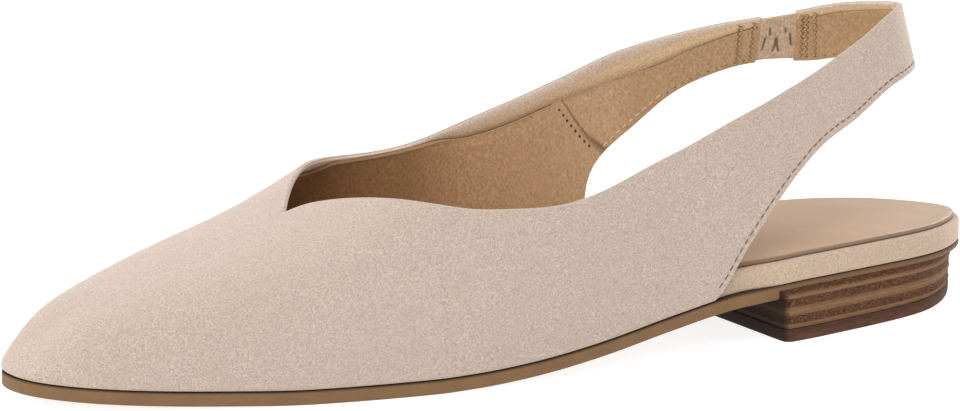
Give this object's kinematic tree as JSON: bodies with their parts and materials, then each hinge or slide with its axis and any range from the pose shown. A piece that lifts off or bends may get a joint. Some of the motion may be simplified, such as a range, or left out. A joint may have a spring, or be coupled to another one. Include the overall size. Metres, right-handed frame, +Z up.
{
  "type": "slingback pump",
  "caption": "Left women's slingback pump: hollow pointed suede upper with V throat and sling strap, thin rubber outsole with arch and toe spring, and a low stacked heel",
  "frame": {"origin": "The middle of the heel's tread, on the floor.", "axes": "+X to the toe, +Y to the outer side of the left foot, +Z up."},
  "size_m": [0.2624, 0.0794, 0.0769],
  "materials": {
    "suede": "fine napped suede, pale pinkish beige",
    "outsole_rubber": "smooth matt tan rubber",
    "stacked_leather": "brown stacked lifts with rough dark bands",
    "top_piece_rubber": "dark reddish brown rubber",
    "sock_leather": "smooth padded leather with a soft sheen",
    "elastic": "gathered elastic, dull pinkish beige"
  },
  "bodies": {
    "root": {"outsole": "outsole_rubber", "heel_block": "stacked_leather", "heel_top_piece": "top_piece_rubber", "insole_board": "suede", "insole": "sock_leather", "upper": "suede", "elastic_gore": "elastic"}
  },
  "joints": []
}
